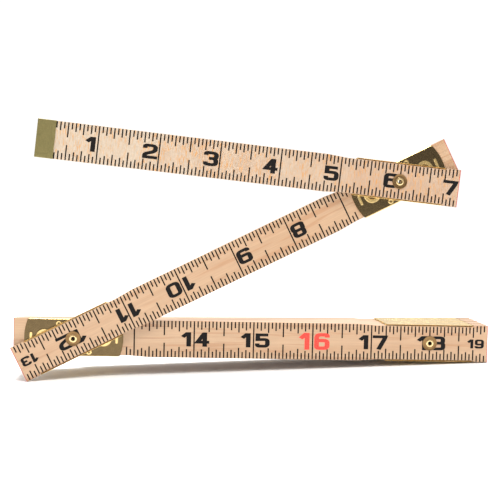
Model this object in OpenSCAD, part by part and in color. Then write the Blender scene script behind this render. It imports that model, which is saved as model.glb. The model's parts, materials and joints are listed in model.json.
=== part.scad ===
// Six foot zig-zag folding rule: twelve wooden sections joined by eleven brass
// pivot joints, with a brass tip at each end and a brass slide in section 1.
// It stands on its narrow edges, with its first two sections opened out.
// +X runs along the folded stack, +Y from the front section to the rear one, +Z up.

/* [Rule] */
// Distance from one pivot to the next, 6 inches
pivot_pitch = 152.4; // [120:0.1:200]
// Length of wood past a pivot, 1 inch
overhang = 25.4; // [24:0.1:40]
// Width of a section
blade_w = 15.875; // [14:0.125:20]
// Thickness of the wood
wood_t = 2.1; // [1.9:0.05:2.1]
// Distance between the front faces of neighbouring sections
layer_pitch = 3.2; // [3.2:0.05:5]

/* [Standing pose] */
// How far joint 1 is opened
open_1 = 32.4; // [0:0.1:180]
// How far joint 2 is opened
open_2 = 27; // [15:0.1:60]
// How far each folded joint on the right has sagged open
sag_right = 0.22; // [0:0.01:0.4]
// How far each folded joint on the left has sagged open
sag_left = 0.05; // [0:0.01:0.1]

/* [Brass joints] */
// Thickness of a joint plate
plate_t = 0.4; // [0.3:0.05:0.4]
// Radius of a plate's round ends, about its pivot
plate_r = 20.8; // [19:0.1:22]
// Thickness of the flanges folded over the narrow edges
flange_t = 0.5; // [0.4:0.05:0.6]
// Half length of a flange
flange_half = 18.8; // [16:0.1:19]
// Height of the raised marks on a plate
emboss_h = 0.12; // [0.05:0.01:0.12]
// Diameter of a rivet's shank
shank_d = 2.4; // [2:0.1:3]
// Diameter of the hole through a rivet
rivet_hole_d = 1.3; // [1:0.1:1.5]
// Diameter of a rivet's flared ends
flare_d = 3.2; // [3:0.1:3.6]
// Diameter of a washer
washer_d = 6.3; // [5:0.1:8]
// Thickness of a washer
washer_t = 0.25; // [0.2:0.01:0.28]

/* [Tips and slide] */
// Length of a tip along the rule
tip_len = 7.65; // [6:0.05:10]
// Thickness of a tip's sheet
tip_t = 0.35; // [0.3:0.05:0.4]
// Width of the slide at its face
slide_w = 7; // [5:0.1:7.5]
// Thickness of the slide
slide_t = 1; // [0.8:0.05:1.1]
// Length of the slide
slide_len = 146; // [120:1:146]
// Diameter of the finger stud
stud_d = 3.6; // [3:0.1:5]

/* [Hidden] */
sections = 12;
joints = sections - 1;
half_w = blade_w / 2;
narrow_by = 0.62;            // wood cut back under a flange
narrow_start = 19.3;         // past a pivot, the wood has its full width again from here on
narrow_full = 23;            // on the other side it has its narrow width up to here
narrow_end = 31.5;           // and its full width from here on
fit = 0.04;                  // clearance of running and seated pieces
flange_depth = wood_t - 0.25;
flare_t = 0.15;
hole_r = shank_d / 2 + fit;
dovetail = 0.45;             // the slide is this much wider at its base, each side
slide_end_gap = 0.05;        // the slide sits this far inside the zero end
groove_end = slide_end_gap + slide_len + 0.5;
stud_pos = 12;
stud_h = 0.45;
cut = 1;                     // cutters run past the faces by this much
round_fn = 64;

wood_colour = [0.86, 0.73, 0.60];
brass_colour = [0.62, 0.55, 0.36];
bright_brass = [0.80, 0.70, 0.45];

function two(k) = k < 10 ? str("0", k) : str(k);
function blade_name(k) = str("blade_", two(k));
function joint_name(k, piece) = str("joint_", two(k), "_", piece);
joint_pieces = ["back_plate", "front_plate", "rivet", "washers"];

// Where the inches start and stop on a section, counted from its first pivot.
function start_x(k) = k == 1 ? 0 : -overhang;
function stop_x(k) = k == sections ? pivot_pitch : pivot_pitch + overhang;

// Opening of joint k. Odd joints are on the right of the folded stack.
function opening(k) = k == 1 ? open_1 : k == 2 ? open_2 : k % 2 == 1 ? sag_right : sag_left;
function turn(k) = 180 + (k % 2 == 1 ? 1 : -1) * opening(k);

// Direction in which the inches of section k run, before the rule is set down.
function heading(k) = k == 3 ? 0 : k < 3 ? heading(k + 1) - turn(k) : heading(k - 1) + turn(k - 1);
function along(k) = pivot_pitch * [cos(heading(k)), sin(heading(k))];

// First pivot of section k in the plane of the faces; section 3's is at 0, 0.
function first_pivot(k) = k == 3 ? [0, 0]
    : k < 3 ? first_pivot(k + 1) - along(k)
    : first_pivot(k - 1) + along(k - 1);
function spot(k, x, z) = first_pivot(k)
    + x * [cos(heading(k)), sin(heading(k))] + z * [-sin(heading(k)), cos(heading(k))];

// The rule rests on the low corner of section 2 and, at the right, on the end of section 11.
low_left = spot(2, stop_x(2), half_w);
low_right = spot(joints, stop_x(joints), -half_w);
lean = atan2(low_right[1] - low_left[1], low_right[0] - low_left[0]);
function level(p) = [p[0] * cos(lean) + p[1] * sin(lean), p[1] * cos(lean) - p[0] * sin(lean)];
floor_z = min(level(low_left)[1], level(low_right)[1]);
// The origin is below the middle of the whole rule.
ends_x = [for (k = [2, 3], x = [start_x(k), stop_x(k)], z = [-half_w, half_w])
    level(spot(k, x, z))[0]];
mid_x = (min(ends_x) + max(ends_x)) / 2;
front_y = -washer_t - flare_t - fit;
back_y = (sections - 1) * layer_pitch + wood_t + washer_t + flare_t + fit;
mid_y = (front_y + back_y) / 2;

// Puts section k's own space in place: X along its inches, its front face at Y 0.
module place(k) {
    p = level(first_pivot(k));
    translate([p[0] - mid_x, (k - 1) * layer_pitch - mid_y, p[1] - floor_z])
        rotate([0, lean - heading(k), 0])
            children();
}

// Extrudes an outline in X and Z from Y = from to Y = to.
module slab(from, to) {
    translate([0, to, 0])
        rotate([90, 0, 0])
            linear_extrude(to - from)
                children();
}

module disc(r, from, to) {
    translate([0, to, 0])
        rotate([90, 0, 0])
            cylinder(r = r, h = to - from, $fn = round_fn);
}

// One half of a section's outline, from its start to its middle.
function half_outline(from, has_joint, w) = has_joint
    ? [[from, w], [-narrow_start, w], [-narrow_start, w - narrow_by],
       [narrow_full, w - narrow_by], [narrow_end, w]]
    : [[from, w]];

module blade_outline(k) {
    rising = half_outline(start_x(k), k > 1, half_w);
    falling = half_outline(pivot_pitch - stop_x(k), k < sections, half_w);
    top = concat(rising, [for (i = [len(falling) - 1:-1:0]) [pivot_pitch - falling[i][0], falling[i][1]]]);
    polygon(concat(top, [for (i = [len(top) - 1:-1:0]) [top[i][0], -top[i][1]]]));
}

// The dovetail section of the slide or of its groove, grown by an allowance.
module dovetail_bar(from, to, depth, grow) {
    face = slide_w / 2 + grow;
    base = face + dovetail;
    translate([from, 0, 0])
        rotate([90, 0, 90])
            linear_extrude(to - from)
                polygon([[wood_t, -face], [wood_t, face], [wood_t - depth, base], [wood_t - depth, -base]]);
}

module blade(k) {
    is_first = k == 1;
    is_last = k == sections;
    color(wood_colour)
    place(k)
    difference() {
        slab(0, wood_t) blade_outline(k);
        if (!is_first) disc(hole_r, -cut, wood_t + cut);
        if (!is_last) translate([pivot_pitch, 0, 0]) disc(hole_r, -cut, wood_t + cut);
        if (is_first) {
            tip_seat(-1, start_x(k));
            dovetail_bar(start_x(k) - cut, groove_end, slide_t + fit, fit);
            // the groove's mouth is open to the face
            translate([start_x(k) - cut, wood_t - cut / 2, -slide_w / 2 - fit])
                cube([groove_end - start_x(k) + cut, cut, slide_w + 2 * fit]);
        }
        if (is_last) tip_seat(1, stop_x(k));
    }
}

// The wood under a tip is cut back on its narrow edges and at its end.
module tip_seat(side, end_x) {
    from = side < 0 ? end_x - cut : end_x - tip_len - fit;
    to = side < 0 ? end_x + tip_len + fit : end_x + cut;
    for (s = [-1, 1])
        translate([from, -cut, s > 0 ? half_w - tip_t - fit : -half_w - cut])
            cube([to - from, wood_t + 2 * cut, tip_t + fit + cut]);
    translate([side < 0 ? end_x - cut : end_x - tip_t - fit, -cut, -half_w - cut])
        cube([tip_t + fit + cut, wood_t + 2 * cut, blade_w + 2 * cut]);
}

module tip(k, side, end_x, with_slot) {
    from = side < 0 ? end_x : end_x - tip_len;
    inner = side < 0 ? from + tip_t : from - cut;
    color(bright_brass)
    place(k)
    difference() {
        translate([from, -tip_t, -half_w])
            cube([tip_len, wood_t + 2 * tip_t, blade_w]);
        translate([inner, 0, -half_w + tip_t])
            cube([tip_len - tip_t + cut, wood_t, blade_w - 2 * tip_t]);
        if (with_slot)
            translate([from - cut, wood_t - slide_t - 2 * fit, -slide_w / 2 - dovetail - 2 * fit])
                cube([tip_len + 2 * cut, slide_t + tip_t + cut, slide_w + 2 * dovetail + 4 * fit]);
    }
}

// A joint plate lies on the wood from Y = 0 up, and its flanges reach down.
module plate_shape() {
    ring_at = 12.4;
    ring_r = 3.7;
    ring_inner_r = 2.3;
    bar = [1.4, 5];
    bar_at = 18;
    dot_at = [6.4, 6];
    dot_r = 1.3;
    boss_r = 4;
    difference() {
        union() {
            intersection() {
                disc(plate_r, 0, plate_t);
                translate([-plate_r, 0, -half_w]) cube([2 * plate_r, plate_t, blade_w]);
            }
            for (s = [-1, 1])
                translate([-flange_half, -flange_depth, s > 0 ? half_w - flange_t : -half_w])
                    cube([2 * flange_half, flange_depth + plate_t, flange_t]);
            disc(boss_r, plate_t, plate_t + emboss_h);
            for (s = [-1, 1]) {
                translate([s * ring_at, 0, 0]) disc(ring_r, plate_t, plate_t + emboss_h);
                translate([s * bar_at - bar[0] / 2, plate_t, -bar[1] / 2]) cube([bar[0], emboss_h, bar[1]]);
                for (t = [-1, 1])
                    translate([s * dot_at[0], 0, t * dot_at[1]]) disc(dot_r, plate_t, plate_t + emboss_h);
            }
        }
        disc(hole_r, -cut, plate_t + cut);
        for (s = [-1, 1])
            translate([s * ring_at, 0, 0]) disc(ring_inner_r, plate_t, plate_t + cut);
    }
}

// On the back face of section k, at its second pivot.
module back_plate(k) {
    color(brass_colour)
    place(k)
    translate([pivot_pitch, wood_t, 0])
    plate_shape();
}

// On the front face of section k + 1, at its first pivot.
module front_plate(k) {
    color(brass_colour)
    place(k + 1)
    mirror([0, 1, 0])
    plate_shape();
}

// A hollow rivet through sections k and k + 1, flared over a washer at each side.
module rivet(k) {
    far_side = layer_pitch + wood_t;
    reach = washer_t + 2 * fit;
    color(bright_brass)
    place(k)
    translate([pivot_pitch, 0, 0])
    difference() {
        union() {
            disc(shank_d / 2, -reach - flare_t, far_side + reach + flare_t);
            disc(flare_d / 2, -reach - flare_t, -reach);
            disc(flare_d / 2, far_side + reach, far_side + reach + flare_t);
        }
        disc(rivet_hole_d / 2, -cut, far_side + cut);
    }
}

module washers(k) {
    far_side = layer_pitch + wood_t;
    color(brass_colour)
    place(k)
    translate([pivot_pitch, 0, 0])
    difference() {
        union() {
            disc(washer_d / 2, -washer_t - fit, -fit);
            disc(washer_d / 2, far_side + fit, far_side + washer_t + fit);
        }
        disc(hole_r, -cut, far_side + cut);
    }
}

module zero_end_tip() {
    tip(1, -1, start_x(1), true);
}

module far_end_tip() {
    tip(sections, 1, stop_x(sections), false);
}

module extension_slide() {
    color(bright_brass)
    place(1)
    dovetail_bar(start_x(1) + slide_end_gap, start_x(1) + slide_end_gap + slide_len, slide_t, 0);
}

// A small stud on the slide for the finger that pushes it out.
module slide_stud() {
    color(bright_brass)
    place(1)
    translate([start_x(1) + stud_pos, 0, 0])
    disc(stud_d / 2, wood_t, wood_t + stud_h);
}

for (k = [1:sections])
    blade(k);
for (k = [1:joints]) {
    back_plate(k);
    front_plate(k);
    rivet(k);
    washers(k);
}
zero_end_tip();
far_end_tip();
extension_slide();
slide_stud();
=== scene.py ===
import json
import math
import bpy
import bmesh
from mathutils import Matrix, Vector
from mathutils.geometry import delaunay_2d_cdt


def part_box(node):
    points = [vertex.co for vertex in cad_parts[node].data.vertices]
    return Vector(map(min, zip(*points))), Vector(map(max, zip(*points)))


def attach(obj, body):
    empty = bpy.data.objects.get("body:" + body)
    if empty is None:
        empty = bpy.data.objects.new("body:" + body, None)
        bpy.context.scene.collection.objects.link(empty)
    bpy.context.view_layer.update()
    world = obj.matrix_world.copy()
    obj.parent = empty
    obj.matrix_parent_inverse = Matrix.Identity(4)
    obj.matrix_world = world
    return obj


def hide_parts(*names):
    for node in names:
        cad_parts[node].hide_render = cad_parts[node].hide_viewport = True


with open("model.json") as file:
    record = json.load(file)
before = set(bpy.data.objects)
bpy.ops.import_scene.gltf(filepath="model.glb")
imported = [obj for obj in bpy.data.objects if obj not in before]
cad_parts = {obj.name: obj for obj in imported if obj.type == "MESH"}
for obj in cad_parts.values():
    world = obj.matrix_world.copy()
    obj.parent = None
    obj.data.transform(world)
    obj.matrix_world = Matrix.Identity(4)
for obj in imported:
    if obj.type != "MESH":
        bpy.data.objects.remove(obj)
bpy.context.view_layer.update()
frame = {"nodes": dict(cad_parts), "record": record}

record = frame["record"]
mm = 0.001
inch = 25.4 * mm
sectionCount = 12
jointCount = sectionCount - 1
print("stage: frame loaded,", len(frame["nodes"]), "nodes")


# Every section has a space of its own: X along its inches, Y into the rule, Z up as its
# numbers are read.

def twoDigits(number):
    return "{:02d}".format(number)


def bladeNode(number):
    return "blade_" + twoDigits(number)


def bodyOf(number):
    return "section_" + twoDigits(number)


jointSpots = {j["name"]: Vector(j["pos_m"]) for j in record["behaviour"]["joints"] if "pos_m" in j}
endMounts = {m["name"]: m for m in record["mounts"]}
pivotPitch = 6 * inch
overhang = 1 * inch            # wood beyond a pivot
plateRadius = 20.8 * mm


def sectionHeading(number):
    if number == 1:
        return -Vector(endMounts["zero_end"]["axis"])
    if number == sectionCount:
        return Vector(endMounts["far_end"]["axis"])
    here = jointSpots["joint_" + twoDigits(number - 1)]
    there = jointSpots["joint_" + twoDigits(number)]
    run = there - here
    run.y = 0
    return run.normalized()


def sectionSpace(number):
    along = sectionHeading(number)
    upward = Vector((-along.z, 0, along.x))
    if number == 1:
        origin = jointSpots["joint_01"] - along * pivotPitch
    else:
        origin = jointSpots["joint_" + twoDigits(number - 1)].copy()
    origin.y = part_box(bladeNode(number))[0].y
    space = Matrix.Identity(4)
    for row in range(3):
        space[row][0] = along[row]
        space[row][1] = (0, 1, 0)[row]
        space[row][2] = upward[row]
        space[row][3] = origin[row]
    return space


spaces = {n: sectionSpace(n) for n in range(1, sectionCount + 1)}
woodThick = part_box("blade_03")[1].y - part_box("blade_03")[0].y
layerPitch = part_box("blade_04")[0].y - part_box("blade_03")[0].y


def startOf(number):
    return 0.0 if number == 1 else -overhang


def stopOf(number):
    return pivotPitch if number == sectionCount else pivotPitch + overhang


bladeShape = {
    "halfWidth": 0.3125 * inch,
    "narrowBy": 0.62 * mm,     # under the brass flanges
    "narrowStart": 19.3 * mm,  # from that far beyond the pivot
    "narrowFull": 23 * mm,     # to that far on its other side
    "narrowEnd": 31.5 * mm,    # where the wood has its whole width again
    "edgeRound": 0.16 * mm,
}


def halfWidthAt(number, x):
    # half the width of the wood at x, narrowed towards each pivot
    half = bladeShape["halfWidth"]
    away = []
    if number > 1:
        away.append(x)
    if number < sectionCount:
        away.append(pivotPitch - x)
    if not away or min(away) < -bladeShape["narrowStart"]:
        return half
    nearest = min(away)
    span = bladeShape["narrowEnd"] - bladeShape["narrowFull"]
    share = (bladeShape["narrowEnd"] - nearest) / span
    return half - bladeShape["narrowBy"] * max(0.0, min(1.0, share))


def addPiece(name, mesh, space, body, material):
    piece = bpy.data.objects.new(name, mesh)
    bpy.context.scene.collection.objects.link(piece)
    piece.matrix_world = space
    if material and not mesh.materials:
        mesh.materials.append(material)
    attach(piece, body)
    return piece


def meshFrom(name, build, smoothAngle=None):
    bm = bmesh.new()
    build(bm)
    mesh = bpy.data.meshes.new(name)
    bm.to_mesh(mesh)
    bm.free()
    if smoothAngle is not None:
        for polygon in mesh.polygons:
            polygon.use_smooth = True
        mesh.set_sharp_from_angle(angle=math.radians(smoothAngle))
    return mesh


def roundEdges(node, width, segments=2):
    # welds the triangles of the solid and rounds its sharp edges
    weld = node.modifiers.new("weld", "WELD")
    weld.merge_threshold = 0.002 * mm
    bevel = node.modifiers.new("edge", "BEVEL")
    bevel.width = width
    bevel.segments = segments
    bevel.limit_method = "ANGLE"
    bevel.angle_limit = math.radians(40)


def lathe(name, profile, steps=48):
    # turns a closed outline of (radius, depth) pairs about the Y axis
    def build(bm):
        rings = []
        for step in range(steps):
            turn = 2 * math.pi * step / steps
            ring = [bm.verts.new((r * math.cos(turn), y, r * math.sin(turn))) for r, y in profile]
            rings.append(ring)
        for step in range(steps):
            here = rings[step]
            there = rings[(step + 1) % steps]
            for i in range(len(profile)):
                j = (i + 1) % len(profile)
                bm.faces.new((here[i], here[j], there[j], there[i]))
        bmesh.ops.recalc_face_normals(bm, faces=bm.faces)
    return meshFrom(name, build, 35)


def domedLathe(name, profile, steps=48):
    # like lathe, but the outline starts and ends on the axis
    def build(bm):
        first = bm.verts.new((0, profile[0][1], 0))
        last = bm.verts.new((0, profile[-1][1], 0))
        inner = profile[1:-1]
        rings = []
        for step in range(steps):
            turn = 2 * math.pi * step / steps
            rings.append([bm.verts.new((r * math.cos(turn), y, r * math.sin(turn))) for r, y in inner])
        for step in range(steps):
            here = rings[step]
            there = rings[(step + 1) % steps]
            bm.faces.new((first, here[0], there[0]))
            for i in range(len(inner) - 1):
                bm.faces.new((here[i], here[i + 1], there[i + 1], there[i]))
            bm.faces.new((last, there[-1], here[-1]))
        bmesh.ops.recalc_face_normals(bm, faces=bm.faces)
    return meshFrom(name, build, 35)


def newMaterial(name):
    material = bpy.data.materials.new(name)
    material.use_nodes = True
    nodes = material.node_tree.nodes
    nodes.clear()
    shader = nodes.new("ShaderNodeBsdfPrincipled")
    output = nodes.new("ShaderNodeOutputMaterial")
    material.node_tree.links.new(shader.outputs["BSDF"], output.inputs["Surface"])
    return material, nodes, material.node_tree.links, shader


def placedCoords(nodes, links, turn=0.0, stretch=(1, 1, 1), shift=(0, 0, 0)):
    coords = nodes.new("ShaderNodeTexCoord")
    turned = nodes.new("ShaderNodeMapping")
    turned.inputs["Rotation"].default_value = (0, turn, 0)
    stretched = nodes.new("ShaderNodeMapping")
    stretched.inputs["Scale"].default_value = stretch
    stretched.inputs["Location"].default_value = shift
    links.new(coords.outputs["Object"], turned.inputs["Vector"])
    links.new(turned.outputs["Vector"], stretched.inputs["Vector"])
    return stretched.outputs["Vector"]


def noise(nodes, links, vector, scale, detail=4.0, roughness=0.55, distortion=0.0):
    texture = nodes.new("ShaderNodeTexNoise")
    texture.inputs["Scale"].default_value = scale
    texture.inputs["Detail"].default_value = detail
    texture.inputs["Roughness"].default_value = roughness
    texture.inputs["Distortion"].default_value = distortion
    links.new(vector, texture.inputs["Vector"])
    return texture.outputs["Fac"]


def ramp(nodes, links, factor, stops):
    node = nodes.new("ShaderNodeValToRGB")
    node.color_ramp.elements[0].position = stops[0][0]
    node.color_ramp.elements[0].color = (*stops[0][1], 1)
    node.color_ramp.elements[1].position = stops[-1][0]
    node.color_ramp.elements[1].color = (*stops[-1][1], 1)
    for place, colour in stops[1:-1]:
        element = node.color_ramp.elements.new(place)
        element.color = (*colour, 1)
    links.new(factor, node.inputs["Fac"])
    return node.outputs["Color"]


def greyRamp(nodes, links, factor, low, high, start=0.3, end=0.7):
    return ramp(nodes, links, factor, [(start, (low,) * 3), (end, (high,) * 3)])


def mixed(nodes, links, factor, first, second, blend="MIX"):
    node = nodes.new("ShaderNodeMix")
    node.data_type = "RGBA"
    node.blend_type = blend
    colours = [s for s in node.inputs if s.type == "RGBA"]
    if isinstance(factor, (int, float)):
        node.inputs["Factor"].default_value = factor
    else:
        links.new(factor, node.inputs["Factor"])
    for socket, value in zip(colours, (first, second)):
        if isinstance(value, tuple):
            socket.default_value = (*value, 1)
        else:
            links.new(value, socket)
    return [s for s in node.outputs if s.type == "RGBA"][0]


def mapped(nodes, links, value, fromLow, fromHigh, toLow=0.0, toHigh=1.0):
    node = nodes.new("ShaderNodeMapRange")
    node.inputs["From Min"].default_value = fromLow
    node.inputs["From Max"].default_value = fromHigh
    node.inputs["To Min"].default_value = toLow
    node.inputs["To Max"].default_value = toHigh
    links.new(value, node.inputs["Value"])
    return node.outputs["Result"]


def calculated(nodes, links, operation, first, second=None):
    node = nodes.new("ShaderNodeMath")
    node.operation = operation
    links.new(first, node.inputs[0])
    if second is not None:
        links.new(second, node.inputs[1])
    return node.outputs["Value"]


def axisValue(nodes, links, vector, axis):
    node = nodes.new("ShaderNodeSeparateXYZ")
    links.new(vector, node.inputs["Vector"])
    return node.outputs[axis]


def axisShare(nodes, links, vector, axis, low, high):
    return mapped(nodes, links, axisValue(nodes, links, vector, axis), low, high)


def bump(nodes, links, shader, height, strength, distance):
    node = nodes.new("ShaderNodeBump")
    node.inputs["Strength"].default_value = strength
    node.inputs["Distance"].default_value = distance
    links.new(height, node.inputs["Height"])
    links.new(node.outputs["Normal"], shader.inputs["Normal"])


woodLook = {
    "pale": (0.488, 0.318, 0.190),
    "warm": (0.445, 0.270, 0.150),
    "line": (0.39, 0.19, 0.085),
    "toneSpacing": 6 * mm,
    "lineSpacing": 1.5 * mm,
    "fineSpacing": 0.35 * mm,
    "stretch": 0.045,          # how much the grain is drawn out along the section
    "fineStretch": 0.03,
    "gloss": 0.42,
    "varnish": 0.35,
    "varnishGloss": 0.25,
}
fleckLook = {
    "pale": (0.505, 0.402, 0.298),
    "warm": (0.445, 0.292, 0.190),
    "fleck": (0.55, 0.250, 0.062),
    "fleckSpacing": 0.42 * mm,
    "patchSpacing": 9 * mm,    # of the patches with more flecks or fewer
    "fineSpacing": 0.3 * mm,
    "stretch": 0.14,           # how much the flecks are drawn out across the section
    "warmFrom": 30 * mm,       # the wood turns warmer from here to there along the section
    "warmTo": 150 * mm,
}


def headingAngle(number):
    along = sectionHeading(number)
    return math.atan2(along.z, along.x)


def makeWood(number):
    # straight-grained hardwood, its grain along the section, under a thin varnish
    look = woodLook
    material, nodes, links, shader = newMaterial("sectionWood" + twoDigits(number))
    shift = (0.37 * number, 0.11 * number, 0.23 * number)
    turn = headingAngle(number)
    grain = placedCoords(nodes, links, turn, (look["stretch"], 1, 1), shift)
    broad = noise(nodes, links, grain, 1 / look["toneSpacing"], 3, 0.5, 0.4)
    tone = ramp(nodes, links, broad, [(0.35, look["pale"]), (0.68, look["warm"])])
    lines = noise(nodes, links, grain, 1 / look["lineSpacing"], 2, 0.45, 0.3)
    lineMask = greyRamp(nodes, links, lines, 0.0, 0.50, 0.56, 0.63)
    streaked = mixed(nodes, links, lineMask, tone, look["line"])
    fineCoords = placedCoords(nodes, links, turn, (look["fineStretch"], 1, 1), shift)
    fine = noise(nodes, links, fineCoords, 1 / look["fineSpacing"], 4, 0.6)
    fineTone = greyRamp(nodes, links, fine, 0.90, 1.06, 0.3, 0.7)
    colour = mixed(nodes, links, 1.0, streaked, fineTone, "MULTIPLY")
    links.new(colour, shader.inputs["Base Color"])
    gloss = greyRamp(nodes, links, fine, look["gloss"] - 0.06, look["gloss"] + 0.12)
    links.new(gloss, shader.inputs["Roughness"])
    shader.inputs["Coat Weight"].default_value = look["varnish"]
    shader.inputs["Coat Roughness"].default_value = look["varnishGloss"]
    bump(nodes, links, shader, fine, 0.25, 0.05 * mm)
    return material


def alongRange(number):
    # where the warm tone starts and ends, counted along the heading from the origin
    start = spaces[number].translation.dot(sectionHeading(number))
    return start + fleckLook["warmFrom"], start + fleckLook["warmTo"]


def makeFleckedWood(number):
    # quarter-sawn wood, whose short flecks run across the section
    look = fleckLook
    material, nodes, links, shader = newMaterial("fleckedWood" + twoDigits(number))
    turn = headingAngle(number)
    across = placedCoords(nodes, links, turn, (1, 1, look["stretch"]), (0.5, 0.2, 0.9))
    wide = placedCoords(nodes, links, turn, (1, 1, 0.5), (0.1, 0.6, 0.3))
    flecks = noise(nodes, links, across, 1 / look["fleckSpacing"], 3, 0.6, 0.5)
    patches = noise(nodes, links, wide, 1 / look["patchSpacing"], 2, 0.5)
    along = axisShare(nodes, links, placedCoords(nodes, links, turn), "X", *alongRange(number))
    patchy = mapped(nodes, links, patches, 0.35, 0.75, -0.3, 0.3)
    warmth = calculated(nodes, links, "ADD", along, patchy)
    tone = ramp(nodes, links, warmth, [(0.0, look["pale"]), (1.0, look["warm"])])
    mask = greyRamp(nodes, links, flecks, 0.0, 0.85, 0.53, 0.61)
    where = greyRamp(nodes, links, patches, 0.45, 1.0, 0.34, 0.56)
    both = mixed(nodes, links, 1.0, mask, where, "MULTIPLY")
    flecked = mixed(nodes, links, both, tone, look["fleck"])
    fine = noise(nodes, links, across, 1 / look["fineSpacing"], 4, 0.6)
    fineTone = greyRamp(nodes, links, fine, 0.88, 1.06, 0.3, 0.7)
    colour = mixed(nodes, links, 1.0, flecked, fineTone, "MULTIPLY")
    links.new(colour, shader.inputs["Base Color"])
    links.new(greyRamp(nodes, links, fine, 0.36, 0.56), shader.inputs["Roughness"])
    shader.inputs["Coat Weight"].default_value = woodLook["varnish"]
    shader.inputs["Coat Roughness"].default_value = woodLook["varnishGloss"]
    bump(nodes, links, shader, fine, 0.2, 0.04 * mm)
    return material


def makePrint(name, colour, wornAndSheen):
    # printed ink or paint, a little thin and uneven
    material, nodes, links, shader = newMaterial(name)
    spot = placedCoords(nodes, links)
    patchy = noise(nodes, links, spot, 1 / inkLook["patchSpacing"], 3, 0.6)
    tone = ramp(nodes, links, patchy, [(0.35, colour), (0.75, wornAndSheen)])
    links.new(tone, shader.inputs["Base Color"])
    links.new(greyRamp(nodes, links, patchy, 0.50, 0.70), shader.inputs["Roughness"])
    shader.inputs["Specular IOR Level"].default_value = inkLook["shine"]
    bump(nodes, links, shader, patchy, 0.15, 0.01 * mm)
    return material


def makeBrass(name, colour, stain, roughness, brushed=(1, 1, 1), turn=0.0, strength=0.12):
    # sheet brass with a faint brush pattern, stains and uneven gloss
    material, nodes, links, shader = newMaterial(name)
    lines = placedCoords(nodes, links, turn, brushed)
    spot = placedCoords(nodes, links)
    scratch = noise(nodes, links, lines, 1 / brassLook["scratchSpacing"], 3, 0.6)
    cloudy = noise(nodes, links, spot, 1 / brassLook["stainSpacing"], 5, 0.6)
    tone = ramp(nodes, links, cloudy, [(0.3, colour), (0.75, stain)])
    scratchTone = greyRamp(nodes, links, scratch, 0.90, 1.06, 0.35, 0.65)
    both = mixed(nodes, links, 1.0, tone, scratchTone, "MULTIPLY")
    links.new(both, shader.inputs["Base Color"])
    shader.inputs["Metallic"].default_value = 1.0
    gloss = greyRamp(nodes, links, cloudy, roughness - 0.05, roughness + 0.10)
    links.new(gloss, shader.inputs["Roughness"])
    bump(nodes, links, shader, scratch, strength, 0.02 * mm)
    return material


def makePlateBrass():
    # lacquered sheet in two copies of one brass: a dark copy on its level faces as painted shade, and a
    # bright copy as painted highlight on its slopes, bends and flanges and on its marks, where it also
    # stands for rubbed wear
    look = brassLook
    material, nodes, links, shader = newMaterial("plateBrass")
    coords = nodes.new("ShaderNodeTexCoord")
    place = coords.outputs["Object"]
    upright = axisValue(nodes, links, coords.outputs["Normal"], "Y")
    facing = calculated(nodes, links, "ABSOLUTE", upright)
    # slopes that turn from level get the painted highlight
    slopeHighlight = mapped(nodes, links, facing, *look["plateSlopeHighlight"])
    # the raised tops of the marks get it too, where it also stands for rubbed wear
    markHighlight = axisShare(nodes, links, place, "Y", *look["plateMarkHighlight"])
    cloudy = noise(nodes, links, place, 1 / look["plateStainSpacing"], 4, 0.6)
    # and the bends and flanges below a height get it as well
    hem = axisShare(nodes, links, place, "Y", *look["plateHemHighlight"])
    marks = calculated(nodes, links, "MAXIMUM", slopeHighlight, markHighlight)
    paintedHighlight = calculated(nodes, links, "MAXIMUM", marks, hem)
    wornAndSheen = calculated(nodes, links, "MULTIPLY", paintedHighlight, mapped(nodes, links, cloudy, 0.3, 0.6, 0.75, 1.0))
    # the dark copy is painted shade on the level faces, the bright copy the painted highlight
    level = ramp(nodes, links, cloudy, [(0.3, look["plateShaded"]), (0.75, look["plateShadedStain"])])
    bright = ramp(nodes, links, cloudy, [(0.3, look["plate"]), (0.75, look["plateStain"])])
    links.new(mixed(nodes, links, wornAndSheen, level, bright), shader.inputs["Base Color"])
    shader.inputs["Metallic"].default_value = 1.0
    fine = noise(nodes, links, place, 1 / look["plateGrain"], 3, 0.6)
    links.new(greyRamp(nodes, links, fine, 0.20, 0.30), shader.inputs["Roughness"])
    bump(nodes, links, shader, fine, 0.05, 0.01 * mm)
    return material


inkLook = {
    "patchSpacing": 0.5 * mm,
    "shine": 0.15,
    "black": (0.003, 0.0025, 0.0025),
    "blackWorn": (0.010, 0.008, 0.007),
    "red": (0.70, 0.050, 0.038),
    "redWorn": (0.76, 0.10, 0.075),
    "endRed": (0.42, 0.045, 0.055),
    "endRedWorn": (0.50, 0.10, 0.10),
}
brassLook = {
    # the first two are the bright copy of the plate brass, a painted highlight; the next two the dark
    # copy, painted shade on its level faces
    "plate": (0.84, 0.62, 0.27),
    "plateStain": (0.74, 0.50, 0.20),
    "plateShaded": (0.150, 0.104, 0.050),
    "plateShadedStain": (0.120, 0.084, 0.042),
    "tip": (0.386, 0.328, 0.136),
    "tipStain": (0.286, 0.236, 0.100),
    "washer": (0.270, 0.160, 0.068),
    "washerStain": (0.195, 0.112, 0.048),
    "rivet": (0.86, 0.66, 0.34),
    "rivetStain": (0.66, 0.46, 0.22),
    "slide": (0.80, 0.60, 0.28),
    "slideStain": (0.68, 0.48, 0.22),
    "scratchSpacing": 0.25 * mm,
    "stainSpacing": 2.2 * mm,
    "plateStainSpacing": 2.5 * mm,
    "plateGrain": 0.3 * mm,
    "plateSlopeHighlight": (0.992, 0.93),             # how far a slope turns from level until it takes the painted highlight
    "plateMarkHighlight": (0.44 * mm, 0.51 * mm),    # height at which a pressed mark takes the painted highlight, which there also stands for rubbed wear
    "plateHemHighlight": (0.34 * mm, 0.28 * mm),     # and below which the bend and the flange take the painted highlight
}

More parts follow.
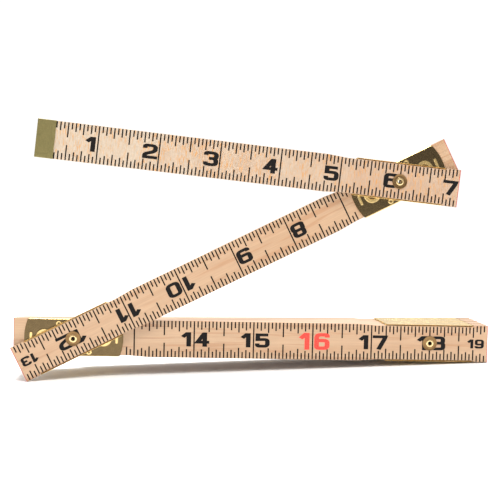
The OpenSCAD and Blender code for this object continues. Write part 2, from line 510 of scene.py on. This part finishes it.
firstTurn = headingAngle(1)
blackInk = makePrint("blackInk", inkLook["black"], inkLook["blackWorn"])
redInk = makePrint("redInk", inkLook["red"], inkLook["redWorn"])
endPaint = makePrint("endPaint", inkLook["endRed"], inkLook["endRedWorn"])
plateBrass = makePlateBrass()
washerBrass = makeBrass("washerBrass", brassLook["washer"], brassLook["washerStain"], 0.30)
rivetBrass = makeBrass("rivetBrass", brassLook["rivet"], brassLook["rivetStain"], 0.22)
tipBrass = makeBrass("tipBrass", brassLook["tip"], brassLook["tipStain"], 0.34,
                     (1, 1, 0.12), firstTurn, 0.3)
slideBrass = makeBrass("slideBrass", brassLook["slide"], brassLook["slideStain"], 0.26,
                       (0.04, 1, 1), firstTurn)
print("stage: materials made")


# The wooden sections keep their own meshes, with a material and softened edges.
for number in range(1, sectionCount + 1):
    blade = frame["nodes"][bladeNode(number)]
    blade.data.materials.clear()
    blade.data.materials.append(makeFleckedWood(number) if number == 1 else makeWood(number))
    roundEdges(blade, bladeShape["edgeRound"])
print("stage: sections finished")


# Printed scales: ticks and numbers on both faces of every section.
scaleLook = {
    "lineWidth": 0.58 * mm,
    "inkRise": 0.012 * mm,     # how far the ink stands above the wood
    "inkSink": 0.01 * mm,
    "edgeGap": 0.14 * mm,      # between a tick and the edge of the wood
    "sixteenth": 2.7 * mm,
    "eighth": 3.6 * mm,
    "quarter": 4.5 * mm,
    "half": 6.2 * mm,
    "digitHeight": 6.1 * mm,
    "digitWidth": 6.3 * mm,
    "smallShare": 0.64,        # size of the numbers beyond a pivot
    "smallInset": 1.2 * mm,    # and how far they stand from the end of the wood
    "studShare": 1.06,         # size of the red numbers, every 16 inches
    "studTall": 1.12,          # and how much taller they are
    "digitGap": 0.62 * mm,
    "leftGap": 1.5,            # gap left of an inch line, in digit gaps
    "plateGap": 0.35 * mm,
    "tipGap": 0.1 * mm,
    "grooveHalf": 4.2 * mm,
}
# the width of an upright stroke as a share of the digit, and of a level one
strokeShare = {"across": 0.315, "down": 0.205}
narrowOne = 0.66               # width of a 1 against the other digits


def roundedPath(points, corners, steps=5):
    # a line through the points, with an arc at each inner point that has a corner radius
    path = [Vector(points[0])]
    for i in range(1, len(points) - 1):
        before, here, after = Vector(points[i - 1]), Vector(points[i]), Vector(points[i + 1])
        reach = min(corners[i], (before - here).length * 0.5, (after - here).length * 0.5)
        if reach < 0.02:
            path.append(here)
            continue
        start = here + (before - here).normalized() * reach
        stop = here + (after - here).normalized() * reach
        for step in range(steps + 1):
            t = step / steps
            path.append(start * (1 - t) ** 2 + here * 2 * t * (1 - t) + stop * t ** 2)
    path.append(Vector(points[-1]))
    return path


def ribbon(path, halfThick, closed=False):
    # quads along a line, mitred at its corners
    count = len(path)
    sides = []
    for i in range(count):
        before = path[i - 1] if (i > 0 or closed) else path[i]
        after = path[(i + 1) % count] if (i < count - 1 or closed) else path[i]
        first = path[i] - before
        second = after - path[i]
        if first.length < 1e-9:
            first = second
        if second.length < 1e-9:
            second = first
        normalA = Vector((-first.y, first.x)).normalized()
        normalB = Vector((-second.y, second.x)).normalized()
        middle = (normalA + normalB).normalized()
        widen = 1 / max(0.4, middle.dot(normalA))
        sides.append((path[i] + middle * halfThick * widen, path[i] - middle * halfThick * widen))
    quads = []
    for i in range(count if closed else count - 1):
        a, b = sides[i], sides[(i + 1) % count]
        quads.append((a[0], a[1], b[1], b[0]))
    return quads


# A digit is drawn as strokes in a box that is 0..1 between stroke centres. The last value of a
# stroke is how round its corners are; a point with a third value has a sharp corner.
digitStrokes = {
    "0": [("loop", [(0, 0), (1, 0), (1, 1), (0, 1)], 0.42)],
    "1": [("line", [(-0.18, 0.70), (0.24, 1.0), (0.42, 1.0)], 0.0),
          ("line", [(0.42, 1.13), (0.42, -0.13)], 0.0)],
    "2": [("line", [(0, 0.74), (0, 1), (1, 1), (1, 0.54), (0.02, 0.26), (0.02, 0, 0), (1.25, 0)],
           0.36)],
    "3": [("line", [(0, 0.78), (0, 1), (1, 1), (1, 0.52), (0.30, 0.52)], 0.36),
          ("line", [(0.30, 0.52), (1, 0.52), (1, 0), (0, 0), (0, 0.22)], 0.36)],
    "4": [("line", [(0.62, 1.05), (-0.02, 0.27, 0), (1.13, 0.27)], 0.0),
          ("line", [(0.68, 1.13), (0.68, -0.13)], 0.0)],
    "5": [("line", [(1.08, 1), (0.04, 1, 0), (0.04, 0.58, 0), (1, 0.60), (1, 0), (0, 0), (0, 0.24)],
           0.34)],
    "6": [("line", [(1.0, 0.80), (1.0, 1), (0, 1), (0, 0.4)], 0.38),
          ("loop", [(0, 0), (1, 0), (1, 0.57), (0, 0.57)], 0.34)],
    "7": [("line", [(-0.25, 1), (1.02, 1, 0), (0.96, 0.84, 0), (0.36, -0.13)], 0.0)],
    "8": [("loop", [(0, 0), (1, 0), (1, 0.52), (0, 0.52)], 0.32),
          ("loop", [(0.04, 0.52), (0.96, 0.52), (0.96, 1), (0.04, 1)], 0.32)],
    "9": [("line", [(0, 0.20), (0, 0), (1, 0), (1, 0.6)], 0.38),
          ("loop", [(0, 0.43), (1, 0.43), (1, 1), (0, 1)], 0.34)],
}


def digitQuads(digit, left, height, width):
    # quads of one digit, whose box starts at left and is centred on the middle of the wood
    unitX = strokeShare["across"] * width
    unitY = strokeShare["down"] * height
    spanX = width / unitX - 1
    spanY = height / unitY - 1
    quads = []
    for kind, points, corner in digitStrokes[digit]:
        placed = [(0.5 + spanX * point[0], 0.5 + spanY * point[1]) for point in points]
        radii = [0.0 if len(point) > 2 else corner * spanX for point in points]
        if kind == "loop":
            start = ((placed[0][0] + placed[-1][0]) / 2, (placed[0][1] + placed[-1][1]) / 2)
            path = roundedPath([start] + placed + [start], [0.0] + radii + [0.0])[:-1]
            strips = ribbon(path, 0.5, True)
        else:
            strips = ribbon(roundedPath(placed, radii), 0.5)
        for strip in strips:
            quads.append([(left + p.x * unitX, p.y * unitY - height / 2) for p in strip])
    return quads


def digitAdvance(digit, width):
    return width * (narrowOne if digit == "1" else 1.0)


def numberQuads(number, x, share, straddle=True, tall=1.0):
    # a number beside its inch line; two digits stand one on each side of it
    height = scaleLook["digitHeight"] * share * tall
    width = scaleLook["digitWidth"] * share
    gap = scaleLook["digitGap"] * share
    digits = str(number)
    quads = []
    if len(digits) == 2 and straddle:
        left = x - gap * scaleLook["leftGap"] - digitAdvance(digits[0], width)
        quads += digitQuads(digits[0], left, height, width)
        quads += digitQuads(digits[1], x + gap, height, width)
    else:
        total = sum(digitAdvance(d, width) for d in digits) + gap * (len(digits) - 1)
        left = x - gap - total
        for digit in digits:
            quads += digitQuads(digit, left, height, width)
            left += digitAdvance(digit, width) + gap
    return quads


def tickLength(sixteenths):
    if sixteenths % 8 == 0:
        return scaleLook["half"]
    if sixteenths % 4 == 0:
        return scaleLook["quarter"]
    if sixteenths % 2 == 0:
        return scaleLook["eighth"]
    return scaleLook["sixteenth"]


def tickQuad(x, low, high):
    half = scaleLook["lineWidth"] / 2
    return [(x - half, low), (x + half, low), (x + half, high), (x - half, high)]


def plateEdge(z):
    # how far from its pivot a plate reaches at that height
    reach = plateRadius + scaleLook["plateGap"]
    return math.sqrt(reach ** 2 - z ** 2)


def tickQuads(number, face):
    # the ticks of one face; "front" has its plate at the first pivot and "back" at the second
    quads = []
    first = round(startOf(number) / inch * 16)
    last = round(stopOf(number) / inch * 16)
    underTip = tipShape["length"] + scaleLook["tipGap"]
    for sixteenths in range(first + 1, last):
        x = sixteenths * inch / 16
        if number == 1 and x < underTip:
            continue
        if number == sectionCount and x > pivotPitch - underTip:
            continue
        edge = halfWidthAt(number, x) - scaleLook["edgeGap"]
        inner = edge - tickLength(sixteenths)
        spans = [(inner, edge), (-edge, -inner)]
        if sixteenths % 16 == 0:
            spans = [(-edge, edge)]
        for low, high in spans:
            nearest = min(abs(low), abs(high)) if low * high > 0 else 0.0
            if face == "front" and number > 1 and x < plateEdge(nearest):
                continue
            if face == "back" and number < sectionCount and x > pivotPitch - plateEdge(nearest):
                continue
            if face == "back" and number == 1:
                low, high = besideSlide(low, high)
            quads.append(tickQuad(x, low, high))
    return quads


def besideSlide(low, high):
    # on the face with the slide a tick stops short of the groove
    groove = scaleLook["grooveHalf"]
    if high > groove and low > -groove:
        return max(low, groove), high
    if low < -groove and high < groove:
        return low, min(high, -groove)
    return groove, high


def liesIn(corners, x, z):
    # whether a point lies in a quad, taken as two triangles, whichever way round they run
    for triangle in (corners[:3], [corners[0]] + corners[2:]):
        turns = []
        for a, b in zip(triangle, triangle[1:] + triangle[:1]):
            turns.append((b.x - a.x) * (z - a.y) - (b.y - a.y) * (x - a.x))
        if min(turns) >= 0 or max(turns) <= 0:
            return True
    return False


def joinedOutline(quads):
    # the quads as one flat shape without overlaps: its points and triangles
    shapes = [[Vector((x / mm, z / mm)) for x, z in quad] for quad in quads]
    flat = [corner for corners in shapes for corner in corners]
    faces = [list(range(i * 4, i * 4 + 4)) for i in range(len(quads))]
    points, _, triangles, _, _, _ = delaunay_2d_cdt(flat, [], faces, 1, 1e-5)
    # the shapes by whole millimetres of x, so that each triangle is only tried against a few
    near = {}
    for corners in shapes:
        first = math.floor(min(c.x for c in corners))
        last = math.floor(max(c.x for c in corners))
        for column in range(first, last + 1):
            near.setdefault(column, []).append(corners)
    kept = []
    for triangle in triangles:
        x = sum(points[i].x for i in triangle) / 3
        z = sum(points[i].y for i in triangle) / 3
        if any(liesIn(corners, x, z) for corners in near.get(math.floor(x), [])):
            kept.append(tuple(triangle))
    return [(p.x * mm, p.y * mm) for p in points], kept


def flatSolid(name, quads, depth, outward):
    # thin closed ink: quads in X and Z, standing a hair proud of the face at that depth
    rise = scaleLook["inkRise"]
    sink = scaleLook["inkSink"]
    points, triangles = joinedOutline(quads)

    def build(bm):
        top = [bm.verts.new((x, depth + outward * rise, z)) for x, z in points]
        low = [bm.verts.new((x, depth - outward * sink, z)) for x, z in points]
        uses = {}
        for a, b, c in triangles:
            bm.faces.new((top[a], top[b], top[c]))
            bm.faces.new((low[c], low[b], low[a]))
            for edge in ((a, b), (b, c), (c, a)):
                uses.setdefault(frozenset(edge), []).append(edge)
        for edges in uses.values():
            if len(edges) == 1:
                a, b = edges[0]
                bm.faces.new((top[b], top[a], low[a], low[b]))
        bmesh.ops.recalc_face_normals(bm, faces=bm.faces)
        loose = [v for v in bm.verts if not v.link_faces]
        bmesh.ops.delete(bm, geom=loose, context="VERTS")
    return meshFrom(name, build)


def turnedQuads(quads, centreX):
    # for the back face: turned about the upright, so that the numbers read the right way round
    return [[(2 * centreX - x, z) for x, z in reversed(quad)] for quad in quads]


tipShape = {
    "length": 7.65 * mm,
    "edgeRound": 0.12 * mm,
}


def faceNumbers(number, face):
    # black quads and red quads of the numbers on one face; the slide takes the room for them
    # on the back of the first section
    black, red = [], []
    if face == "back" and number == 1:
        return black, red
    firstInch = 6 * (number - 1)
    for step in range(1, 8 if number < sectionCount else 6):
        value = firstInch + step
        x = step * inch
        small = step == 7 and number > 1
        # a plate lies over these
        if number > 1 and face == "front" and step == 1:
            continue
        if face == "back" and step > 4 and number < sectionCount:
            continue
        stud = value % 16 == 0
        share = scaleLook["smallShare"] if small else scaleLook["studShare"] if stud else 1.0
        tall = scaleLook["studTall"] if stud else 1.0
        if face == "front":
            inset = scaleLook["smallInset"] if small else 0.0
            quads = numberQuads(value, x - inset, share, not small, tall)
        else:
            quads = turnedQuads(numberQuads(value, x, share, True, tall), x)
        (red if stud else black).extend(quads)
    return black, red


def printOn(number, face, kind, quads, ink):
    label = kind + twoDigits(number) + "_" + face
    depth, outward = (0.0, -1) if face == "front" else (woodThick, 1)
    mesh = flatSolid(label, quads, depth, outward)
    addPiece(label, mesh, spaces[number], bodyOf(number), ink)


for number in range(1, sectionCount + 1):
    for face in ("front", "back"):
        black, red = faceNumbers(number, face)
        printOn(number, face, "scale_", black + tickQuads(number, face), blackInk)
        if red:
            printOn(number, face, "stud_number_", red, redInk)
print("stage: scales printed")


# Red paint over the bare ends of the wood.
paintShape = {
    "thick": 0.02 * mm,
    "wrap": 0.42 * mm,         # how far the paint comes round onto the faces
}


def paintMesh(name, x, outward, half):
    # a thin cap of paint over the end of the wood
    thick = paintShape["thick"]
    soft = bladeShape["edgeRound"]

    def build(bm):
        made = bmesh.ops.create_cube(bm, size=1)["verts"]
        depth = paintShape["wrap"] + thick
        bmesh.ops.scale(bm, verts=made, vec=(depth, woodThick + 2 * thick, 2 * (half + thick)))
        middle = x + outward * (thick - depth / 2)
        bmesh.ops.translate(bm, verts=made, vec=(middle, woodThick / 2, 0))
        bmesh.ops.bevel(bm, geom=bm.edges[:], offset=soft, segments=2, profile=0.5, affect="EDGES")
    return meshFrom(name, build)


for number in range(1, sectionCount + 1):
    ends = []
    if number > 1:
        ends.append(("_low", startOf(number), -1))
    if number < sectionCount:
        ends.append(("_high", stopOf(number), 1))
    for suffix, x, outward in ends:
        label = "end_paint_" + twoDigits(number) + suffix
        cap = paintMesh(label, x, outward, halfWidthAt(number, x))
        addPiece(label, cap, spaces[number], bodyOf(number), endPaint)
print("stage: ends painted")


# Joint plates, pressed from sheet with a flange along both sides.
plateShape = {
    "radius": plateRadius,
    "halfWidth": bladeShape["halfWidth"],
    "thick": 0.4 * mm,
    "sheet": 0.36 * mm,        # the sheet itself, a little clear of the wood
    "bend": 0.45 * mm,
    "bendSteps": 5,
    "hem": 0.14 * mm,          # rounding of a flange's edge
    "flangeHalf": 18.8 * mm,
    "flangeDepth": 1.85 * mm,
    "raise": 0.115 * mm,
    "slope": 0.32 * mm,        # width of the slope at the edge of a mark
    "ringAt": 12.4 * mm,
    "ringOuter": 3.7 * mm,
    "ringInner": 2.2 * mm,
    "barAt": 18.0 * mm,
    "barHalf": (0.65 * mm, 2.4 * mm),
    "dotAt": (6.4 * mm, 6.0 * mm),
    "dotRadius": 1.3 * mm,
    "dimple": (0.2 * mm, 0.7 * mm),         # from the middle of a dot to its rim
    "boss": 4.0 * mm,
    "hole": 1.24 * mm,
    "step": 0.2 * mm,
}


def easeBetween(value, low, high):
    t = max(0.0, min(1.0, (value - low) / (high - low)))
    return t * t * (3 - 2 * t)


def plateRaise(x, z):
    # height of the pressed marks at a point of the plate
    shape = plateShape
    slope = shape["slope"]
    ringR = math.hypot(abs(x) - shape["ringAt"], z)
    ring = easeBetween(shape["ringOuter"] - ringR, 0, slope)
    ring *= easeBetween(ringR - shape["ringInner"], -slope, 0)
    dotR = math.hypot(abs(x) - shape["dotAt"][0], abs(z) - shape["dotAt"][1])
    dimple = 0.35 + 0.65 * easeBetween(dotR, *shape["dimple"])
    dot = easeBetween(shape["dotRadius"] - dotR, 0, slope * 0.9) * dimple
    barX = abs(abs(x) - shape["barAt"])
    barZ = max(0.0, abs(z) - shape["barHalf"][1] + shape["barHalf"][0])
    bar = easeBetween(shape["barHalf"][0] - math.hypot(barX, barZ), 0, slope * 0.8)
    boss = easeBetween(shape["boss"] - math.hypot(x, z), 0, slope)
    return shape["raise"] * max(ring, dot, bar, boss)


def plateMesh():
    # rows of (z, y, whether the marks raise them) run from one flange's edge over the plate to
    # the other's, and columns run along the section
    shape = plateShape
    half = shape["halfWidth"]
    bend = shape["bend"]
    hem = shape["hem"]
    rows = [(-half + hem, -shape["flangeDepth"], False),
            (-half + hem * 0.3, -shape["flangeDepth"] + hem * 0.3, False),
            (-half, -shape["flangeDepth"] + hem, False)]
    bendSteps = shape["bendSteps"]
    for i in range(bendSteps + 1):
        turn = math.pi / 2 * i / bendSteps
        across = -half + bend * (1 - math.cos(turn))
        rows.append((across, shape["thick"] - bend * (1 - math.sin(turn)), i == bendSteps))
    flat = half - bend
    count = round(2 * flat / shape["step"])
    for i in range(1, count):
        rows.append((-flat + 2 * flat * i / count, shape["thick"], True))
    rows += [(-z, y, top) for z, y, top in reversed(rows[:bendSteps + 4])]
    columns = round(2 * shape["radius"] / shape["step"])

    def build(bm):
        grid = []
        for z, y, top in rows:
            reach = math.sqrt(shape["radius"] ** 2 - z ** 2)
            if abs(z) > flat:
                share = min(1.0, (abs(z) - flat) / bend)
                reach = reach * (1 - share) + shape["flangeHalf"] * share
            line = []
            for i in range(columns + 1):
                x = reach * (2 * i / columns - 1)
                line.append(bm.verts.new((x, y + (plateRaise(x, z) if top else 0.0), z)))
            grid.append(line)
        for low, high in zip(grid, grid[1:]):
            for i in range(columns):
                bm.faces.new((low[i], high[i], high[i + 1], low[i + 1]))
        bmesh.ops.recalc_face_normals(bm, faces=bm.faces)
        # the level parts become single faces
        bmesh.ops.dissolve_limit(bm, angle_limit=math.radians(0.5),
                                 verts=bm.verts[:], edges=bm.edges[:])
    mesh = meshFrom("plateSheet", build)
    # the face normals have to point out of the rule, along +Y
    if max(mesh.polygons, key=lambda polygon: polygon.area).normal.y < 0:
        mesh.flip_normals()
    sheet = bpy.data.objects.new("plateSheet", mesh)
    bpy.context.scene.collection.objects.link(sheet)
    solid = sheet.modifiers.new("sheet", "SOLIDIFY")
    solid.thickness = shape["sheet"]
    solid.offset = -1
    solid.use_even_offset = True
    drill = bpy.data.objects.new("plateDrill", drillMesh(shape["hole"]))
    bpy.context.scene.collection.objects.link(drill)
    hole = sheet.modifiers.new("hole", "BOOLEAN")
    hole.operation = "DIFFERENCE"
    hole.object = drill
    bpy.context.view_layer.update()
    seen = sheet.evaluated_get(bpy.context.evaluated_depsgraph_get())
    done = bpy.data.meshes.new_from_object(seen)
    done.name = "jointPlate"
    bpy.data.objects.remove(sheet)
    bpy.data.objects.remove(drill)
    for polygon in done.polygons:
        polygon.use_smooth = True
    done.set_sharp_from_angle(angle=math.radians(38))
    done.materials.clear()
    done.materials.append(plateBrass)
    return done


def drillMesh(radius):
    def build(bm):
        made = bmesh.ops.create_cone(bm, cap_ends=True, segments=48,
                                     radius1=radius, radius2=radius, depth=4 * mm)
        intoPlate = Matrix.Rotation(math.pi / 2, 3, "X")
        bmesh.ops.rotate(bm, verts=made["verts"], cent=(0, 0, 0), matrix=intoPlate)
    return meshFrom("drill", build)


def evenShading(piece):
    weighted = piece.modifiers.new("shading", "WEIGHTED_NORMAL")
    weighted.keep_sharp = True


jointPlate = plateMesh()
flipped = Matrix.Rotation(math.pi, 4, "X")
for joint in range(1, jointCount + 1):
    label = "joint_" + twoDigits(joint)
    onBack = spaces[joint] @ Matrix.Translation((pivotPitch, woodThick, 0))
    backPlate = addPiece(label + "_pressed_back_plate", jointPlate, onBack, bodyOf(joint),
                         None)
    evenShading(backPlate)
    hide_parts(label + "_back_plate")
    onFront = spaces[joint + 1] @ flipped
    frontPlate = addPiece(label + "_pressed_front_plate", jointPlate, onFront, bodyOf(joint + 1),
                          None)
    evenShading(frontPlate)
    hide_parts(label + "_front_plate")
print("stage: plates pressed, each", len(jointPlate.polygons), "faces")


# Hollow rivets with a washer under each flared end.
rivetShape = {
    "shank": 1.2 * mm,
    "bore": 0.65 * mm,
    "flare": 1.6 * mm,
    "flareThick": 0.15 * mm,
    "washer": 3.15 * mm,
    "washerBore": 1.24 * mm,
    "washerThick": 0.25 * mm,
    "gap": 0.04 * mm,
}
farFace = layerPitch + woodThick    # back of the second section that a rivet goes through
washerTop = rivetShape["washerThick"] + rivetShape["gap"]


def rivetEnd(face, outward):
    # the flared end, from the bore out to the shank, as (radius, depth)
    shape = rivetShape
    base = face + outward * (washerTop + shape["gap"])
    top = base + outward * shape["flareThick"]
    return [
        (shape["bore"], base - outward * 0.9 * mm),
        (shape["bore"] + 0.05 * mm, base - outward * 0.35 * mm),
        (shape["bore"] + 0.22 * mm, top - outward * 0.04 * mm),
        (shape["bore"] + 0.36 * mm, top),
        (shape["flare"] - 0.14 * mm, top - outward * 0.02 * mm),
        (shape["flare"] - 0.02 * mm, base + outward * 0.07 * mm),
        (shape["flare"], base + outward * 0.02 * mm),
        (shape["flare"] - 0.03 * mm, base),
        (shape["shank"], base),
    ]


def washerRing(face, outward):
    # a thin washer, a little dished, with a rolled rim
    shape = rivetShape
    base = face + outward * shape["gap"]
    top = face + outward * washerTop
    return [
        (shape["washerBore"], base),
        (shape["washerBore"], top - outward * 0.02 * mm),
        (shape["washerBore"] + 0.05 * mm, top - outward * 0.01 * mm),
        (shape["washer"] * 0.72, top - outward * 0.05 * mm),
        (shape["washer"] - 0.30 * mm, top - outward * 0.06 * mm),
        (shape["washer"] - 0.16 * mm, top),
        (shape["washer"] - 0.05 * mm, top - outward * 0.03 * mm),
        (shape["washer"], top - outward * 0.12 * mm),
        (shape["washer"], base + outward * 0.03 * mm),
        (shape["washer"] - 0.04 * mm, base),
    ]


rivetMesh = lathe("hollowRivet", rivetEnd(0.0, -1) + rivetEnd(farFace, 1)[::-1], 40)


def washerPairMesh():
    front = lathe("washerFront", washerRing(0.0, -1), 56)
    back = lathe("washerBack", washerRing(farFace, 1), 56)

    def build(bm):
        bm.from_mesh(front)
        bm.from_mesh(back)
    return meshFrom("washerPair", build, 35)


washerMesh = washerPairMesh()
for joint in range(1, jointCount + 1):
    label = "joint_" + twoDigits(joint)
    atPivot = spaces[joint] @ Matrix.Translation((pivotPitch, 0, 0))
    rivet = addPiece(label + "_hollow_rivet", rivetMesh, atPivot, bodyOf(joint),
                     rivetBrass)
    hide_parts(label + "_rivet")
    washers = addPiece(label + "_dished_washers", washerMesh, atPivot, bodyOf(joint),
                       washerBrass)
    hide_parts(label + "_washers")
print("stage: rivets set")


def finishNode(name, material, edgeRound, segments):
    node = frame["nodes"][name]
    node.data.materials.clear()
    node.data.materials.append(material)
    roundEdges(node, edgeRound, segments)


slideShape = {
    "edgeRound": 0.08 * mm,
    "edgeGap": 0.1 * mm,       # between a tick and the edge of the slide
    "tickLong": 3.0 * mm,
    "tickMiddle": 2.2 * mm,
    "tickShort": 1.5 * mm,
    "halfWidth": 3.5 * mm,
    "digitShare": 0.40,
    "digitDrop": 1.7 * mm,     # of the numbers, below the middle
    "firstTick": 17 * mm,      # clear of the finger stud
    "lastInch": 5.6,
}

finishNode("zero_end_tip", tipBrass, tipShape["edgeRound"], 3)
finishNode("far_end_tip", tipBrass, tipShape["edgeRound"], 3)
finishNode("extension_slide", slideBrass, slideShape["edgeRound"], 2)


def slideQuads():
    # the slide's own scale, counted from its outer end
    quads = []
    half = slideShape["halfWidth"] - slideShape["edgeGap"]
    for sixteenths in range(1, round(slideShape["lastInch"] * 16)):
        x = sixteenths * inch / 16
        if x < slideShape["firstTick"]:
            continue
        length = slideShape["tickShort"]
        if sixteenths % 4 == 0:
            length = slideShape["tickMiddle"]
        if sixteenths % 8 == 0:
            length = slideShape["tickLong"]
        low = -half if sixteenths % 16 == 0 else half - length
        quads.append(tickQuad(x, low, half))
    for whole in range(1, 6):
        number = numberQuads(whole, whole * inch, slideShape["digitShare"])
        lowered = [[(px, pz - slideShape["digitDrop"]) for px, pz in quad] for quad in number]
        quads += turnedQuads(lowered, whole * inch)
    return quads


slideScale = flatSolid("slideScale", slideQuads(), woodThick, 1)
addPiece("slide_scale", slideScale, spaces[1], "slide", blackInk)

studShape = {
    "place": 12 * mm,
    "radius": 1.8 * mm,
    "height": 0.45 * mm,
}
studTop = woodThick + studShape["height"]
studProfile = [
    (0, woodThick),
    (studShape["radius"] * 0.96, woodThick),
    (studShape["radius"], woodThick + 0.06 * mm),
    (studShape["radius"], studTop - 0.16 * mm),
    (studShape["radius"] * 0.93, studTop - 0.05 * mm),
    (studShape["radius"] * 0.80, studTop),
    (studShape["radius"] * 0.66, studTop - 0.03 * mm),
    (studShape["radius"] * 0.50, studTop - 0.12 * mm),
    (0, studTop - 0.17 * mm),
]
studSpace = spaces[1] @ Matrix.Translation((studShape["place"], 0, 0))
studMesh = domedLathe("fingerStud", studProfile)
stud = addPiece("finger_stud", studMesh, studSpace, "slide", slideBrass)
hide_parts("slide_stud")
print("stage: tips and slide finished")


# Floor, light and camera.
stageLook = {
    "size": 1.8,
    "white": 0.92,
    "front": 0.42,             # brightness straight in front of the rule, seen in the brass
    "around": 1.06,
    "dimFrom": 0.84,           # cosine of the angle from straight in front
    "dimTo": 0.66,
}


def makeFloor():
    material, nodes, links, shader = newMaterial("paleFloor")
    spot = placedCoords(nodes, links)
    faint = noise(nodes, links, spot, 3.0, 2)
    tone = greyRamp(nodes, links, faint, stageLook["white"], stageLook["white"] + 0.02)
    links.new(tone, shader.inputs["Base Color"])
    shader.inputs["Roughness"].default_value = 0.6
    shader.inputs["Specular IOR Level"].default_value = 0.2
    half = stageLook["size"] / 2

    def build(bm):
        sides = ((-1, -1), (1, -1), (1, 1), (-1, 1))
        bm.faces.new([bm.verts.new((x * half, y * half, 0)) for x, y in sides])
    floor = bpy.data.objects.new("floor", meshFrom("floor", build))
    bpy.context.scene.collection.objects.link(floor)
    floor.data.materials.append(material)


def makeWorld():
    # white all round, but dim straight in front, as where the camera would stand
    world = bpy.data.worlds.new("studio")
    bpy.context.scene.world = world
    world.use_nodes = True
    nodes, links = world.node_tree.nodes, world.node_tree.links
    nodes.clear()
    output = nodes.new("ShaderNodeOutputWorld")
    background = nodes.new("ShaderNodeBackground")
    coords = nodes.new("ShaderNodeTexCoord")
    towards = nodes.new("ShaderNodeVectorMath")
    towards.operation = "DOT_PRODUCT"
    towards.inputs[1].default_value = (0, -1, 0)
    links.new(coords.outputs["Generated"], towards.inputs[0])
    shade = greyRamp(nodes, links, towards.outputs["Value"], stageLook["around"], stageLook["front"],
                     stageLook["dimTo"], stageLook["dimFrom"])
    links.new(shade, background.inputs["Color"])
    background.inputs["Strength"].default_value = 1.0
    links.new(background.outputs["Background"], output.inputs["Surface"])


softboxes = {
    "softboxKey": {"place": (0.05, -0.50, 0.95), "aim": (0, 0, 0.05), "size": (0.40, 0.30), "power": 7},
    "softboxTop": {"place": (0.0, 0.25, 0.95), "aim": (0, 0, 0.03), "size": (0.5, 0.35), "power": 10},
    "softboxLeft": {"place": (-0.75, -0.65, 0.60), "aim": (0, 0, 0.05), "size": (0.3, 0.3),
                    "power": 1.2},
}


def makeSoftbox(name):
    setup = softboxes[name]
    light = bpy.data.lights.new(name, "AREA")
    light.shape = "RECTANGLE"
    light.size, light.size_y = setup["size"]
    light.energy = setup["power"]
    box = bpy.data.objects.new(name, light)
    bpy.context.scene.collection.objects.link(box)
    box.location = setup["place"]
    aim = Vector(setup["aim"]) - Vector(setup["place"])
    box.rotation_euler = aim.to_track_quat("-Z", "Y").to_euler()


cameraSetup = {
    "aim": (-0.0001, -0.0123, 0.0523),
    "distance": 0.424,         # metres from the point it aims at
    "sideways": 3.03,          # degrees that the view turns to the right
    "downward": 3.27,
    "roll": 1.64,
    "lens": 71.75,
}


def makeCamera():
    setup = cameraSetup
    turn = math.radians(setup["sideways"])
    drop = math.radians(setup["downward"])
    look = Vector((math.sin(turn) * math.cos(drop), math.cos(turn) * math.cos(drop), -math.sin(drop)))
    camera = bpy.data.objects.new("camera", bpy.data.cameras.new("camera"))
    bpy.context.scene.collection.objects.link(camera)
    camera.location = Vector(setup["aim"]) - look * setup["distance"]
    rolled = Matrix.Rotation(math.radians(-setup["roll"]), 3, "Z")
    camera.rotation_euler = (look.to_track_quat("-Z", "Y").to_matrix() @ rolled).to_euler()
    camera.data.sensor_width = 36
    camera.data.lens = setup["lens"]
    camera.data.clip_start = 0.01
    bpy.context.scene.camera = camera


makeFloor()
makeWorld()
for name in softboxes:
    makeSoftbox(name)
makeCamera()
bpy.context.scene.view_settings.view_transform = "Standard"
print("stage: studio ready")
